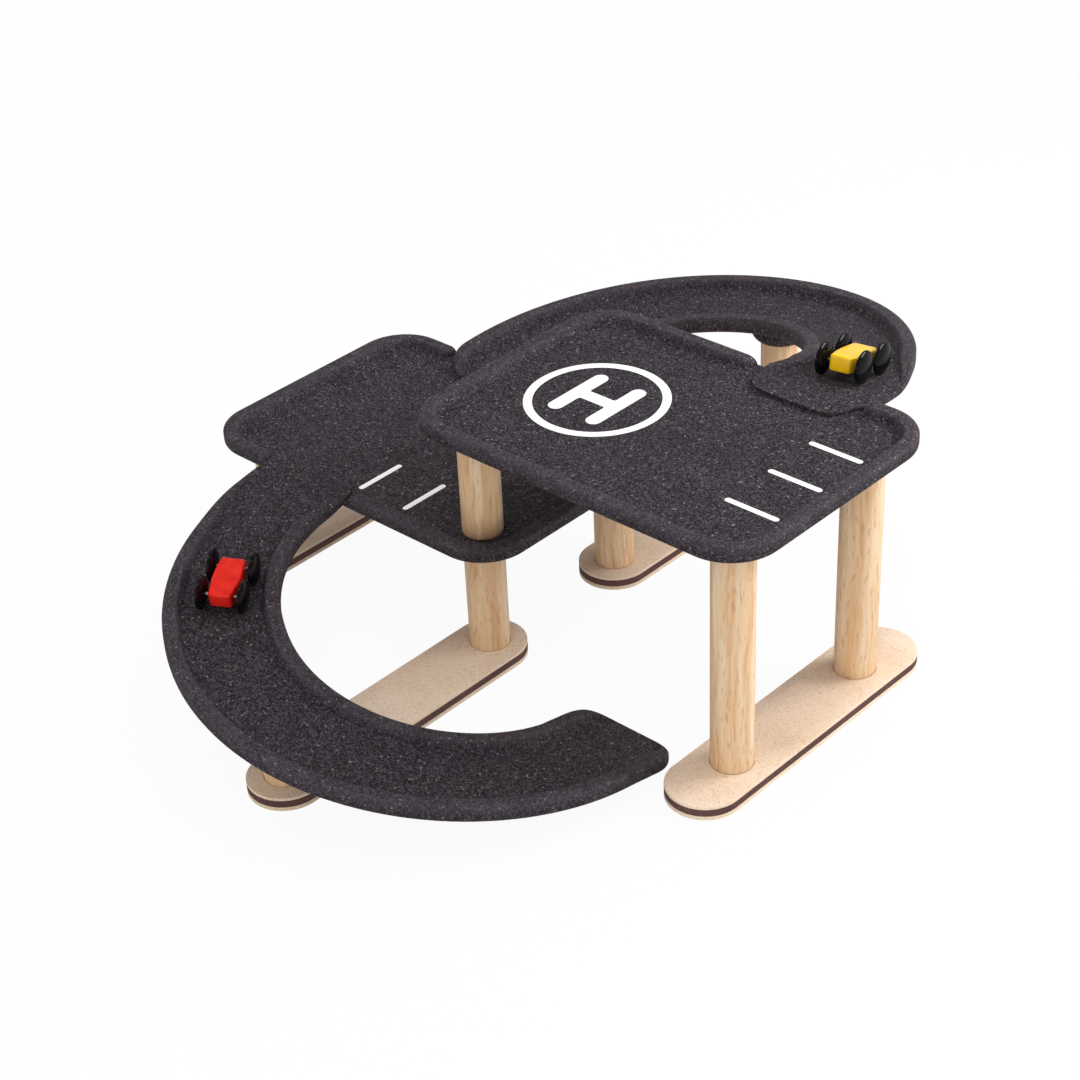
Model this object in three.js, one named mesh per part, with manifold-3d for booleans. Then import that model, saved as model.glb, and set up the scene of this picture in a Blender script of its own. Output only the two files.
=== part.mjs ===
// A toy parking garage: two moulded decks on round wooden posts, two curved ramps and two small cars.
// Millimetres, Z up, standing on the ground at z = 0. The upper deck lies towards +X, the lower deck
// towards -X. Its own ramp leaves each deck: the upper ramp round the +Y side, the lower round -Y.

import * as THREE from 'three';
import { mergeVertices } from 'three/addons/utils/BufferGeometryUtils.js';
import Module from 'manifold-3d';

const wasm = await Module();
wasm.setup();

// Gap between pieces that touch, how far a cutter runs past the face it opens, and how near two
// corners lie to count as one.
const seatGap = 0.3;
const cutOverrun = 2;
const weldTolerance = 0.001;

// Moulded trays: both decks and both ramps share this floor and raised edge.
const floorThickness = 6;
const deckRim = { height: 5.5, width: 10 };
const rampRim = { height: 7, width: 12 };
const rimSlopeWidth = 4;
const rimCrestRound = 1.2;
const rimFootFillet = 1.8;
const rimFootLift = 0.7;
const undersideRound = 3;
const rimNoseLength = 5;

// Decks. Each is a rounded rectangle, the lower one turned half round about the middle of the toy.
const lowerDeckHeight = 101.25;
const upperDeckHeight = 186.6;
const deckFarReach = 244.2;
const deckNearReach = 36.9;
const deckHalfWidth = 100.7;
const deckCornerRadius = 35.5;

// Posts and the sockets that hold them.
const postRadius = 14;
const postChamfer = 1;
const postSideInset = 35.4;
const postEndInset = 33.2;
const postPairHalfSpacing = deckHalfWidth - postSideInset;
const outerPostReach = deckFarReach - postEndInset;
const socketFloorWeb = 4.4;
const postRecessDepth = 1.4;
const bossWall = 4.2;
const bossDepth = 7;
const bossDraft = 0.6;

// Feet: three boards glued flat, with a hair of glue between them.
const footHalfWidth = 25.7;
const bottomBoardThickness = 2.9;
const coreBoardThickness = 5;
const topBoardThickness = 2.3;
const glueLine = 0.05;
const shortFootOverhang = 27.2;

// Ramps. Each is measured in a frame where its upper end is at +X and its bend at +Y. It runs out
// to an inset from the deck's far end, and its ends lap over the decks' long sides.
const upperTongueThickness = 2.4;
const lowerTongueThickness = 2.3;
const rampSocketWeb = 6.4;
const rampBossDepth = 31;
const rampBossRound = 6;
const rampDeckGap = 0.6;
const rimFadeLength = 34;
const innerDriftLength = 45;
const rimRiseLength = 26;

const upperRampAside = 9;
const upperRampEndInset = 50.7;
const upperRampBendInset = 8.5;
const upperRampTopLap = 30.1;
const upperRampLowLap = 28.2;
const upperRamp = {
  centreX: upperRampAside,
  centreY: deckHalfWidth - upperRampBendInset,
  outerRadius: deckFarReach - upperRampEndInset - upperRampAside,
  bandWidth: 76.5,
  topHeight: upperDeckHeight + upperTongueThickness + seatGap,
  middleHeight: 140.6,
  lowHeight: lowerDeckHeight + upperTongueThickness + seatGap,
  topEnd: deckHalfWidth - upperRampTopLap,
  lowEnd: deckHalfWidth - upperRampLowLap,
  topInnerCorner: 21,
  topOuterCorner: 14,
  lowInnerCorner: 14,
  lowOuterCorner: 26,
  topInnerShift: -13,
  topOuterShift: -8,
  outerDriftStart: 0,
  outerDriftLength: 76.2,
};

const lowerRampAside = -5.6;
const lowerRampEndInset = 75.3;
const lowerRampBendReach = 24.1;
const lowerRampTopLap = 20;
const lowerRampLowLap = 25.7;
const lowerRamp = {
  centreX: lowerRampAside,
  centreY: deckHalfWidth + lowerRampBendReach,
  outerRadius: deckFarReach - lowerRampEndInset - lowerRampAside,
  bandWidth: 78.6,
  topHeight: lowerDeckHeight + lowerTongueThickness + seatGap,
  middleHeight: 56.7,
  lowHeight: 4.6,
  topEnd: deckHalfWidth - lowerRampTopLap,
  lowEnd: deckHalfWidth - lowerRampLowLap,
  topInnerCorner: 20,
  topOuterCorner: 15,
  lowInnerCorner: 7,
  lowOuterCorner: 21,
  topInnerShift: 10.5,
  topOuterShift: 9.6,
  outerDriftStart: 34,
  outerDriftLength: 57,
};

// The posts under the two bends stand equally far out, this far inside the upper ramp's outer edge.
const rampPostInset = 20.2;
const rampPostReach = upperRamp.centreY + upperRamp.outerRadius - rampPostInset;

// Clear width left beside a ramp where a deck's rim is open for it, and where across the rim the
// ramp is measured for that.
const openingInnerGap = 1.6;
const openingOuterGap = 7;
const rimCrossingShares = [0, 0.5, 1];

// Cars.
const wheelRadius = 11.5;
const wheelThickness = 6.4;
const wheelEdgeWidth = 1;
const wheelLensShares = [[0.5, 0.82], [0.85, 0.42]];
const wheelTrack = 28.7;
const wheelBase = 26.2;
const wheelBoreDepth = 3.4;
const axleRadius = 1.3;
const carLength = 36;
const carNoseWidth = 15.8;
const carWaistWidth = 19.2;
const carTailWidth = 17.8;
const carHeight = 11.2;
const carAxleRise = 5.5;
const carNoseLead = 1.4;
const carCornerRadius = 3;
const carEdgeRound = 1.6;

// Where the cars stand. The yellow one climbs to the upper deck and the red one rolls down.
const yellowCarPlace = { distance: 59.5, across: 3, turn: Math.PI - 0.13 };
const redCarPlace = { distance: 136.7, across: -3.8, turn: -0.148 };

// Number of steps round curves.
const cornerSteps = 7;
const noseSteps = 3;
const arcSteps = 30;
const endSteps = 4;
const roundSteps = 20;
const smallRoundSteps = 16;

// Skins a row of closed outlines that have the same number of points, and caps both ends.
// The caps are flat, and their shapes in their own planes are given with the outlines.
function skin(outlines, firstCap, lastCap) {
  const count = outlines[0].length;
  const positions = outlines.flat().flatMap((point) => point.toArray());
  const faces = [];
  for (let row = 0; row < outlines.length - 1; row += 1) {
    for (let index = 0; index < count; index += 1) {
      const next = (index + 1) % count;
      const here = row * count;
      const beyond = here + count;
      faces.push([here + index, here + next, beyond + next]);
      faces.push([here + index, beyond + next, beyond + index]);
    }
  }
  const lastRow = (outlines.length - 1) * count;
  for (const [cap, start, turned] of [[firstCap, 0, true], [lastCap, lastRow, false]]) {
    const wound = THREE.ShapeUtils.area(cap) > 0;
    for (const [a, b, c] of THREE.ShapeUtils.triangulateShape(cap, [])) {
      faces.push(turned === wound ? [start + a, start + c, start + b] : [start + a, start + b, start + c]);
    }
  }
  const geometry = new THREE.BufferGeometry();
  geometry.setAttribute('position', new THREE.Float32BufferAttribute(positions, 3));
  geometry.setIndex(faces.flat());
  return facingOut(geometry);
}

// Volume inside an indexed closed surface, negative where its faces point in.
function enclosedVolume(geometry) {
  const place = geometry.attributes.position;
  const [a, b, c] = [new THREE.Vector3(), new THREE.Vector3(), new THREE.Vector3()];
  let volume = 0;
  for (let corner = 0; corner < geometry.index.count; corner += 3) {
    a.fromBufferAttribute(place, geometry.index.getX(corner));
    b.fromBufferAttribute(place, geometry.index.getX(corner + 1));
    c.fromBufferAttribute(place, geometry.index.getX(corner + 2));
    volume += a.dot(b.cross(c)) / 6;
  }
  return volume;
}

function facingOut(geometry) {
  if (enclosedVolume(geometry) < 0) {
    geometry.setIndex(Array.from(geometry.index.array).reverse());
  }
  return geometry;
}

// Shared corners only, so that the surface is closed for cutting and joining.
function welded(geometry) {
  const bare = geometry.clone();
  bare.deleteAttribute('normal');
  bare.deleteAttribute('uv');
  return mergeVertices(bare, weldTolerance);
}

function toSolid(geometry) {
  const closed = welded(geometry);
  return new wasm.Manifold(new wasm.Mesh({
    numProp: 3,
    vertProperties: new Float32Array(closed.attributes.position.array),
    triVerts: new Uint32Array(closed.index.array),
  }));
}

function toGeometry(solid) {
  const mesh = solid.getMesh();
  const geometry = new THREE.BufferGeometry();
  geometry.setAttribute('position', new THREE.BufferAttribute(new Float32Array(mesh.vertProperties), 3));
  geometry.setIndex(new THREE.BufferAttribute(new Uint32Array(mesh.triVerts), 1));
  return geometry;
}

// Upright turned piece from a list of [radius, height] pairs that starts and ends on the axis.
function turned(profile, x, y, steps) {
  const points = profile.map(([radius, height]) => new THREE.Vector2(radius, height));
  const geometry = new THREE.LatheGeometry(points, steps);
  geometry.rotateX(Math.PI / 2);
  geometry.translate(x, y, 0);
  return facingOut(welded(geometry));
}

function roundRod(radius, from, to, x, y) {
  return turned([[0, from], [radius, from], [radius, to], [0, to]], x, y, roundSteps);
}

// Raised edge of a tray as [distance in from the outer wall, height over the floor], from the
// underside round the outer wall and over the rim to the floor. Growth 0 leaves out the rim.
function edgeProfile(rim, growth) {
  const crestEnd = rim.width - rimSlopeWidth;
  return [
    [undersideRound, -floorThickness],
    [undersideRound / 3, -floorThickness + undersideRound / 3],
    [0, -floorThickness + undersideRound],
    [0, growth * (rim.height - rimCrestRound)],
    [rimCrestRound / 3, growth * (rim.height - rimCrestRound / 3)],
    [rimCrestRound, growth * rim.height],
    [crestEnd, growth * rim.height],
    [crestEnd + rimCrestRound, growth * (rim.height - rimCrestRound / 2)],
    [rim.width - rimFootFillet, growth * rimFootLift],
    [rim.width, 0],
  ];
}

// Walks once round a deck's outer edge. Each station has a place, the outward direction and how
// far the rim is grown there. Openings are stretches along the two long sides with no rim.
function deckStations(openings) {
  const stations = [];
  const halfX = (deckFarReach - deckNearReach) / 2;
  const arcCentres = [[1, -1], [1, 1], [-1, 1], [-1, -1]];
  arcCentres.forEach(([sideX, sideY], quarter) => {
    const centreX = halfX + sideX * ((deckFarReach + deckNearReach) / 2 - deckCornerRadius);
    const centreY = sideY * (deckHalfWidth - deckCornerRadius);
    for (let step = 0; step <= cornerSteps; step += 1) {
      const angle = (quarter - 1 + step / cornerSteps) * Math.PI / 2;
      const outward = new THREE.Vector2(Math.cos(angle), Math.sin(angle));
      const place = outward.clone().multiplyScalar(deckCornerRadius);
      place.add(new THREE.Vector2(centreX, centreY));
      stations.push({ place, outward, growth: 1 });
    }
    if (quarter % 2 === 1) {
      stations.push(...openingStations(openings, sideY));
    }
  });
  return stations;
}

function openingStations(openings, side) {
  const stations = [];
  for (const opening of openings.filter((one) => one.side === side)) {
    for (const [edge, away] of [[opening.from, -1], [opening.to, 1]]) {
      for (let step = 0; step <= noseSteps; step += 1) {
        const angle = step / noseSteps * Math.PI / 2;
        const x = edge + away * rimNoseLength * (1 - Math.cos(angle));
        stations.push({
          place: new THREE.Vector2(x, side * deckHalfWidth),
          outward: new THREE.Vector2(0, side),
          growth: Math.sin(angle),
        });
      }
    }
  }
  return stations.sort((a, b) => side * (b.place.x - a.place.x));
}

// A deck's tray, its post sockets underneath, and the recesses in its floor for posts standing on it.
function deckGeometry(height, openings, standingPosts) {
  const stations = deckStations(openings);
  const rings = edgeProfile(deckRim, 1).map((_, index) => stations.map(({ place, outward, growth }) => {
    const [inset, rise] = edgeProfile(deckRim, growth)[index];
    return new THREE.Vector3(place.x - outward.x * inset, place.y - outward.y * inset, height + rise);
  }));
  const plan = (ring) => ring.map((point) => new THREE.Vector2(point.x, point.y));
  let deck = toSolid(skin(rings, plan(rings[0]), plan(rings[rings.length - 1])));
  const socketTop = height - socketFloorWeb;
  for (const [x, y] of deckPostPlaces) {
    const bossRadius = postRadius + seatGap + bossWall;
    const bossFoot = height - floorThickness - bossDepth;
    const boss = turned([
      [0, bossFoot],
      [bossRadius - bossDraft - rimCrestRound, bossFoot],
      [bossRadius - bossDraft, bossFoot + rimCrestRound],
      [bossRadius, socketTop],
      [0, socketTop],
    ], x, y, roundSteps);
    deck = deck.add(toSolid(boss));
    const socket = roundRod(postRadius + seatGap, bossFoot - cutOverrun, socketTop, x, y);
    deck = deck.subtract(toSolid(socket));
  }
  for (const [x, y] of standingPosts) {
    const recess = roundRod(postRadius + seatGap, height - postRecessDepth, height + cutOverrun, x, y);
    deck = deck.subtract(toSolid(recess));
  }
  return toGeometry(deck);
}

// Plan of a ramp's middle line: a straight run, the half-round bend and a second straight run.
function rampLine(ramp) {
  const radius = ramp.outerRadius - ramp.bandWidth / 2;
  const firstRun = ramp.centreY - ramp.topEnd;
  const bend = Math.PI * radius;
  const lastRun = ramp.centreY - ramp.lowEnd;
  return { radius, firstRun, bend, lastRun, length: firstRun + bend + lastRun };
}

// Place and outward direction on a ramp's middle line, at a distance from its upper tip.
function rampStation(ramp, distance) {
  const line = rampLine(ramp);
  const along = THREE.MathUtils.clamp(distance - line.firstRun, 0, line.bend);
  const angle = along / line.radius;
  const outward = new THREE.Vector2(Math.cos(angle), Math.sin(angle));
  const downhill = new THREE.Vector2(-Math.sin(angle), Math.cos(angle));
  const place = outward.clone().multiplyScalar(line.radius);
  place.add(new THREE.Vector2(ramp.centreX, ramp.centreY));
  place.add(downhill.clone().multiplyScalar(distance - line.firstRun - along));
  return { place, outward, downhill };
}

// Length of the level tongue that lies on the deck, from its tip to the deck's edge.
function tongueLength(ramp) {
  return deckHalfWidth + rampDeckGap - ramp.topEnd;
}

// Floor height of a ramp: level over the deck, then down through three measured heights.
function rampFloor(ramp, distance) {
  const level = tongueLength(ramp);
  const share = Math.max(0, distance - level) / (rampLine(ramp).length - level);
  return ramp.topHeight * (1 - share) * (1 - 2 * share)
    + ramp.middleHeight * 4 * share * (1 - share)
    + ramp.lowHeight * share * (2 * share - 1);
}

// How far a corner of the given radius has drawn an edge in, at a distance from the end.
function cornerInset(radius, distance) {
  const left = Math.max(0, radius - distance);
  return radius - Math.sqrt(radius * radius - left * left);
}

function eased(distance, length) {
  return THREE.MathUtils.smoothstep(distance, 0, length);
}

// Distances from the upper tip at which the ramp is measured, closer together at its round ends.
function rampDistances(ramp) {
  const line = rampLine(ramp);
  const startRound = Math.max(ramp.topInnerCorner, ramp.topOuterCorner);
  const endRound = Math.max(ramp.lowInnerCorner, ramp.lowOuterCorner);
  const distances = [];
  for (let step = 0; step < endSteps; step += 1) {
    distances.push(startRound * (1 - Math.cos(step / endSteps * Math.PI / 2)));
  }
  const middle = line.length - startRound - endRound;
  for (let step = 0; step <= arcSteps; step += 1) {
    distances.push(startRound + middle * step / arcSteps);
  }
  for (let step = endSteps - 1; step >= 0; step -= 1) {
    distances.push(line.length - endRound * (1 - Math.cos(step / endSteps * Math.PI / 2)));
  }
  return distances;
}

// Inner and outer edge of a ramp, measured outwards from its middle line.
function rampEdges(ramp, distance) {
  const left = rampLine(ramp).length - distance;
  const innerDrift = 1 - eased(distance, tongueLength(ramp) + innerDriftLength);
  const outerDrift = 1 - eased(distance - ramp.outerDriftStart, ramp.outerDriftLength);
  const innerInset = cornerInset(ramp.topInnerCorner, distance) + cornerInset(ramp.lowInnerCorner, left);
  const outerInset = cornerInset(ramp.topOuterCorner, distance) + cornerInset(ramp.lowOuterCorner, left);
  const half = ramp.bandWidth / 2;
  return [-half + ramp.topInnerShift * innerDrift + innerInset, half + ramp.topOuterShift * outerDrift - outerInset];
}

// How far the rims of a ramp are grown: nothing on the tongue, full along the bend, round at the end.
function rimGrowth(ramp, distance) {
  const left = rampLine(ramp).length - distance;
  return eased(distance - tongueLength(ramp) / 2, rimFadeLength) * Math.sqrt(eased(left, rimRiseLength));
}

// One cross-section of a ramp as [distance out from the middle line, height].
function rampSection(ramp, distance) {
  const [inner, outer] = rampEdges(ramp, distance);
  const floor = rampFloor(ramp, distance);
  const edge = edgeProfile(rampRim, rimGrowth(ramp, distance));
  const squeeze = Math.min(1, (outer - inner) / (rampRim.width * 3));
  const outerSide = edge.map(([inset, rise]) => [outer - inset * squeeze, floor + rise]);
  const innerSide = edge.map(([inset, rise]) => [inner + inset * squeeze, floor + rise]);
  const section = [...outerSide, [(inner + outer) / 2, floor], ...innerSide.reverse()];
  return section.map(([across, height]) => new THREE.Vector2(across, height));
}

function placedSection(ramp, distance, section) {
  const { place, outward } = rampStation(ramp, distance);
  return section.map((point) => new THREE.Vector3(
    place.x + outward.x * point.x,
    place.y + outward.y * point.x,
    point.y,
  ));
}

function rampSweep(ramp, sectionAt) {
  const distances = rampDistances(ramp);
  const sections = distances.map((distance) => sectionAt(distance));
  const outlines = distances.map((distance, index) => placedSection(ramp, distance, sections[index]));
  return skin(outlines, sections[0], sections[sections.length - 1]);
}

// Everything under the middle of a ramp's floor, which trims the post boss to the sloping underside.
function spaceBelowRamp(ramp) {
  return rampSweep(ramp, (distance) => {
    const height = rampFloor(ramp, distance) - floorThickness / 2;
    const foot = -rampBossDepth;
    const half = ramp.bandWidth / 2 - rampRim.width / 2;
    return [[half, foot], [half, height], [-half, height], [-half, foot]].map(
      ([across, rise]) => new THREE.Vector2(across, rise),
    );
  });
}

// Distance along a ramp's middle line at which it passes over its post.
function rampPostDistance(ramp) {
  const line = rampLine(ramp);
  const angle = Math.atan2(rampPostReach - ramp.centreY, -ramp.centreX);
  return line.firstRun + angle * line.radius;
}

function rampPostTop(ramp) {
  return rampFloor(ramp, rampPostDistance(ramp)) - rampSocketWeb;
}

// A ramp's tray with its post boss, cut clear of the decks or the ground that its ends lie on.
function rampGeometry(ramp, rests) {
  let tray = toSolid(rampSweep(ramp, (distance) => rampSection(ramp, distance)));
  const socketTop = rampPostTop(ramp);
  const bossRadius = postRadius + seatGap + bossWall;
  const bossFoot = rampFloor(ramp, rampPostDistance(ramp)) - rampBossDepth;
  const boss = turned([
    [0, bossFoot],
    [bossRadius - rampBossRound, bossFoot],
    [bossRadius - rampBossRound / 3, bossFoot + rampBossRound / 3],
    [bossRadius, bossFoot + rampBossRound],
    [bossRadius, socketTop + floorThickness + rampSocketWeb],
    [0, socketTop + floorThickness + rampSocketWeb],
  ], 0, rampPostReach, roundSteps);
  tray = tray.add(toSolid(boss).intersect(toSolid(spaceBelowRamp(ramp))));
  const socket = roundRod(postRadius + seatGap, bossFoot - cutOverrun, socketTop, 0, rampPostReach);
  tray = tray.subtract(toSolid(socket));
  for (const { side, height, reach } of rests) {
    const block = new THREE.BoxGeometry(deckFarReach, reach * 2, rampBossDepth);
    block.translate(side * deckFarReach / 2, 0, height - rampBossDepth / 2);
    tray = tray.subtract(toSolid(block));
  }
  return toGeometry(tray);
}

// A board with two round ends, lying along Y, with round holes for the posts that pass through it.
function boardGeometry(nearCentre, farCentre, bottom, thickness, postPlaces) {
  const shape = new THREE.Shape();
  shape.absarc(0, farCentre, footHalfWidth, 0, Math.PI, false);
  shape.absarc(0, nearCentre, footHalfWidth, Math.PI, 2 * Math.PI, false);
  shape.closePath();
  for (const y of postPlaces) {
    const hole = new THREE.Path();
    hole.absarc(0, y, postRadius + seatGap, 0, 2 * Math.PI, true);
    shape.holes.push(hole);
  }
  const options = { depth: thickness, bevelEnabled: false, curveSegments: roundSteps / 2 };
  const geometry = new THREE.ExtrudeGeometry(shape, options);
  geometry.translate(0, 0, bottom);
  return geometry;
}

function postGeometry(bottom, top) {
  return turned([
    [0, bottom],
    [postRadius - postChamfer, bottom],
    [postRadius, bottom + postChamfer],
    [postRadius, top - postChamfer],
    [postRadius - postChamfer, top],
    [0, top],
  ], 0, 0, roundSteps);
}

// Lens-shaped wheel on a turning axis along Y, with a blind bore for the axle in its inner face.
function wheelGeometry(side) {
  const half = wheelThickness / 2;
  const edge = wheelEdgeWidth / 2;
  const bore = axleRadius + seatGap;
  const lens = wheelLensShares.map(([out, thick]) => [wheelRadius * out, half * thick]);
  const geometry = turned([
    [0, -half + wheelBoreDepth],
    [bore, -half + wheelBoreDepth],
    [bore, -half],
    ...lens.map(([radius, height]) => [radius, -height]),
    [wheelRadius, -edge],
    [wheelRadius, edge],
    ...lens.reverse(),
    [0, half],
  ], 0, 0, smallRoundSteps);
  geometry.rotateX(-side * Math.PI / 2);
  return geometry;
}

function axleGeometry() {
  const half = wheelTrack / 2 - wheelThickness / 2 + wheelBoreDepth - seatGap;
  const profile = [[0, -half], [axleRadius, -half], [axleRadius, half], [0, half]];
  const geometry = turned(profile, 0, 0, smallRoundSteps / 2);
  geometry.rotateX(Math.PI / 2);
  return geometry;
}

// Car body: a rounded block, widest at the waist, bored across for its two axles. +X is the nose,
// which leads the middle of the axles a little. Its sides bow out to the waist half way along.
function carBodyGeometry() {
  const halfLength = carLength / 2 - carEdgeRound;
  const nose = carNoseWidth / 2 - carEdgeRound;
  const waist = carWaistWidth / 2 - carEdgeRound;
  const tail = carTailWidth / 2 - carEdgeRound;
  const bow = waist * 2 - (nose + tail) / 2;
  const corner = carCornerRadius;
  const shape = new THREE.Shape();
  shape.moveTo(halfLength, -nose + corner);
  shape.lineTo(halfLength, nose - corner);
  shape.quadraticCurveTo(halfLength, nose, halfLength - corner, nose);
  shape.quadraticCurveTo(0, bow, -halfLength + corner, tail);
  shape.quadraticCurveTo(-halfLength, tail, -halfLength, tail - corner);
  shape.lineTo(-halfLength, -tail + corner);
  shape.quadraticCurveTo(-halfLength, -tail, -halfLength + corner, -tail);
  shape.quadraticCurveTo(0, -bow, halfLength - corner, -nose);
  shape.quadraticCurveTo(halfLength, -nose, halfLength, -nose + corner);
  const options = {
    depth: carHeight - carEdgeRound * 2,
    bevelThickness: carEdgeRound,
    bevelSize: carEdgeRound,
    bevelSegments: 2,
    curveSegments: 4,
  };
  const block = new THREE.ExtrudeGeometry(shape, options);
  block.translate(carNoseLead, 0, carEdgeRound - carAxleRise);
  let body = toSolid(block);
  for (const end of [-1, 1]) {
    const half = carWaistWidth / 2 + cutOverrun;
    const bore = turned([
      [0, -half],
      [axleRadius + seatGap, -half],
      [axleRadius + seatGap, half],
      [0, half],
    ], 0, 0, smallRoundSteps / 2);
    bore.rotateX(Math.PI / 2);
    bore.translate(end * wheelBase / 2, 0, 0);
    body = body.subtract(toSolid(bore));
  }
  return toGeometry(body);
}

function composite(name, geometry) {
  return piece(name, geometry, 0x4b484b, 0.72, 0);
}

function paleWood(name, geometry) {
  return piece(name, geometry, 0xe6c39c, 0.6, 0);
}

function piece(name, geometry, colour, roughness, metalness) {
  const material = new THREE.MeshStandardMaterial({ color: colour, roughness, metalness });
  const mesh = new THREE.Mesh(geometry, material);
  mesh.name = name;
  return mesh;
}

// Posts that carry a deck, in that deck's own frame.
const deckPostPlaces = [outerPostReach, 0].flatMap(
  (x) => [[x, -postPairHalfSpacing], [x, postPairHalfSpacing]],
);

const footHeight = bottomBoardThickness + coreBoardThickness + topBoardThickness + glueLine * 2;
const postBottom = bottomBoardThickness + seatGap;

// The three boards of one foot, for posts at the given places along it.
function foot(name, nearCentre, farCentre, postPlaces) {
  const group = new THREE.Group();
  const coreBottom = bottomBoardThickness + glueLine;
  const topBottom = coreBottom + coreBoardThickness + glueLine;
  const bottom = boardGeometry(nearCentre, farCentre, 0, bottomBoardThickness, []);
  const core = boardGeometry(nearCentre, farCentre, coreBottom, coreBoardThickness, postPlaces);
  const top = boardGeometry(nearCentre, farCentre, topBottom, topBoardThickness, postPlaces);
  group.add(piece(`${name}_bottom_board`, bottom, 0xe0c39b, 0.65, 0));
  group.add(piece(`${name}_core_board`, core, 0x3b2a24, 0.7, 0));
  group.add(piece(`${name}_top_board`, top, 0xd9c6ab, 0.6, 0));
  return group;
}

function post(name, x, y, bottom, top) {
  const mesh = paleWood(name, postGeometry(bottom, top));
  mesh.position.set(x, y, 0);
  return mesh;
}

// One car in its own frame: +X forwards, its axles on the plane z = 0.
function car(name, colour) {
  const group = new THREE.Group();
  group.add(piece(`${name}_car_body`, carBodyGeometry(), colour, 0.25, 0));
  for (const [place, end] of [['front', 1], ['rear', -1]]) {
    const axle = piece(`${name}_car_${place}_axle`, axleGeometry(), 0xc9c9c9, 0.25, 1);
    axle.position.set(end * wheelBase / 2, 0, 0);
    group.add(axle);
    for (const [hand, side] of [['left', 1], ['right', -1]]) {
      const wheel = piece(`${name}_car_${place}_${hand}_wheel`, wheelGeometry(side), 0x17171a, 0.2, 0);
      wheel.position.set(end * wheelBase / 2, side * wheelTrack / 2, 0);
      group.add(wheel);
    }
  }
  return group;
}

// Rests a car on a ramp, at its place along the ramp, its place across it and its turn away from
// the downhill direction.
function parkCar(carGroup, ramp, { distance, across, turn }) {
  const { place, outward, downhill } = rampStation(ramp, distance);
  const centre = place.clone().add(outward.clone().multiplyScalar(across));
  const ahead = downhill.clone().rotateAround(new THREE.Vector2(), turn);
  const left = ahead.clone().rotateAround(new THREE.Vector2(), Math.PI / 2);
  const spots = [[1, 1], [1, -1], [-1, 1], [-1, -1]].map(([end, side]) => {
    const spot = centre.clone().add(ahead.clone().multiplyScalar(end * wheelBase / 2));
    spot.add(left.clone().multiplyScalar(side * wheelTrack / 2));
    return { end, side, height: floorUnder(ramp, spot) };
  });
  const mean = spots.reduce((sum, spot) => sum + spot.height, 0) / spots.length;
  const rise = spots.reduce((sum, spot) => sum + spot.end * spot.height, 0) / spots.length;
  const roll = spots.reduce((sum, spot) => sum + spot.side * spot.height, 0) / spots.length;
  const twist = Math.max(...spots.map(({ end, side, height }) => height - mean - end * rise - side * roll));
  const forward = new THREE.Vector3(ahead.x, ahead.y, rise / (wheelBase / 2)).normalize();
  const sideways = new THREE.Vector3(left.x, left.y, roll / (wheelTrack / 2));
  const upward = forward.clone().cross(sideways).normalize();
  const square = upward.clone().cross(forward);
  carGroup.matrix.makeBasis(forward, square, upward);
  carGroup.quaternion.setFromRotationMatrix(carGroup.matrix);
  carGroup.position.set(centre.x, centre.y, mean + twist + seatGap);
  carGroup.position.add(upward.multiplyScalar(wheelRadius));
}

// Height of a ramp's floor under a point of its plan.
function floorUnder(ramp, spot) {
  const line = rampLine(ramp);
  const beside = spot.clone().sub(new THREE.Vector2(ramp.centreX, ramp.centreY));
  const angle = Math.atan2(beside.y, beside.x);
  const runUp = Math.min(0, beside.y);
  const distance = line.firstRun + (runUp < 0 ? runUp : angle * line.radius);
  return rampFloor(ramp, distance);
}

// Stretch of a deck's long side that stays open where one end of a ramp crosses the rim.
function openingFor(ramp, end, side) {
  const line = rampLine(ramp);
  const tip = end > 0 ? ramp.topEnd : ramp.lowEnd;
  const crossings = rimCrossingShares.map((share) => {
    const fromTip = deckHalfWidth + rampDeckGap - tip - share * deckRim.width;
    return rampEdges(ramp, end > 0 ? fromTip : line.length - fromTip);
  });
  const inner = Math.min(...crossings.map((edges) => edges[0])) - openingInnerGap;
  const outer = Math.max(...crossings.map((edges) => edges[1])) + openingOuterGap;
  const ends = [inner, outer].map((across) => ramp.centreX + end * (line.radius + across));
  return { side, from: Math.min(...ends), to: Math.max(...ends) };
}

function mirroredOpening({ side, from, to }) {
  return { side: -side, from: -to, to: -from };
}

const upperLevel = new THREE.Group();
const upperOpening = openingFor(upperRamp, 1, 1);
upperLevel.add(composite('upper_deck', deckGeometry(upperDeckHeight, [upperOpening], [])));
const deckSide = deckHalfWidth + rampDeckGap;
const upperRests = [
  { side: 1, height: upperDeckHeight + seatGap, reach: deckSide },
  { side: -1, height: lowerDeckHeight + seatGap, reach: deckSide },
];
upperLevel.add(composite('upper_ramp', rampGeometry(upperRamp, upperRests)));
const yellowCar = car('yellow', 0xf2c226);
parkCar(yellowCar, upperRamp, yellowCarPlace);
upperLevel.add(yellowCar);

// The lower deck and its ramp are built like the upper ones and then turned half round.
const lowerLevel = new THREE.Group();
lowerLevel.rotation.z = Math.PI;
const lowerOpenings = [
  openingFor(lowerRamp, 1, 1),
  mirroredOpening(openingFor(upperRamp, -1, 1)),
];
const standingPosts = [-postPairHalfSpacing, postPairHalfSpacing].map((y) => [0, y]);
lowerLevel.add(composite('lower_deck', deckGeometry(lowerDeckHeight, lowerOpenings, standingPosts)));
const lowerRests = [
  { side: 1, height: lowerDeckHeight + seatGap, reach: deckSide },
  { side: -1, height: 0, reach: rampPostReach },
];
lowerLevel.add(composite('lower_ramp', rampGeometry(lowerRamp, lowerRests)));
const redCar = car('red', 0xd81f1c);
parkCar(redCar, lowerRamp, redCarPlace);
lowerLevel.add(redCar);

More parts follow.
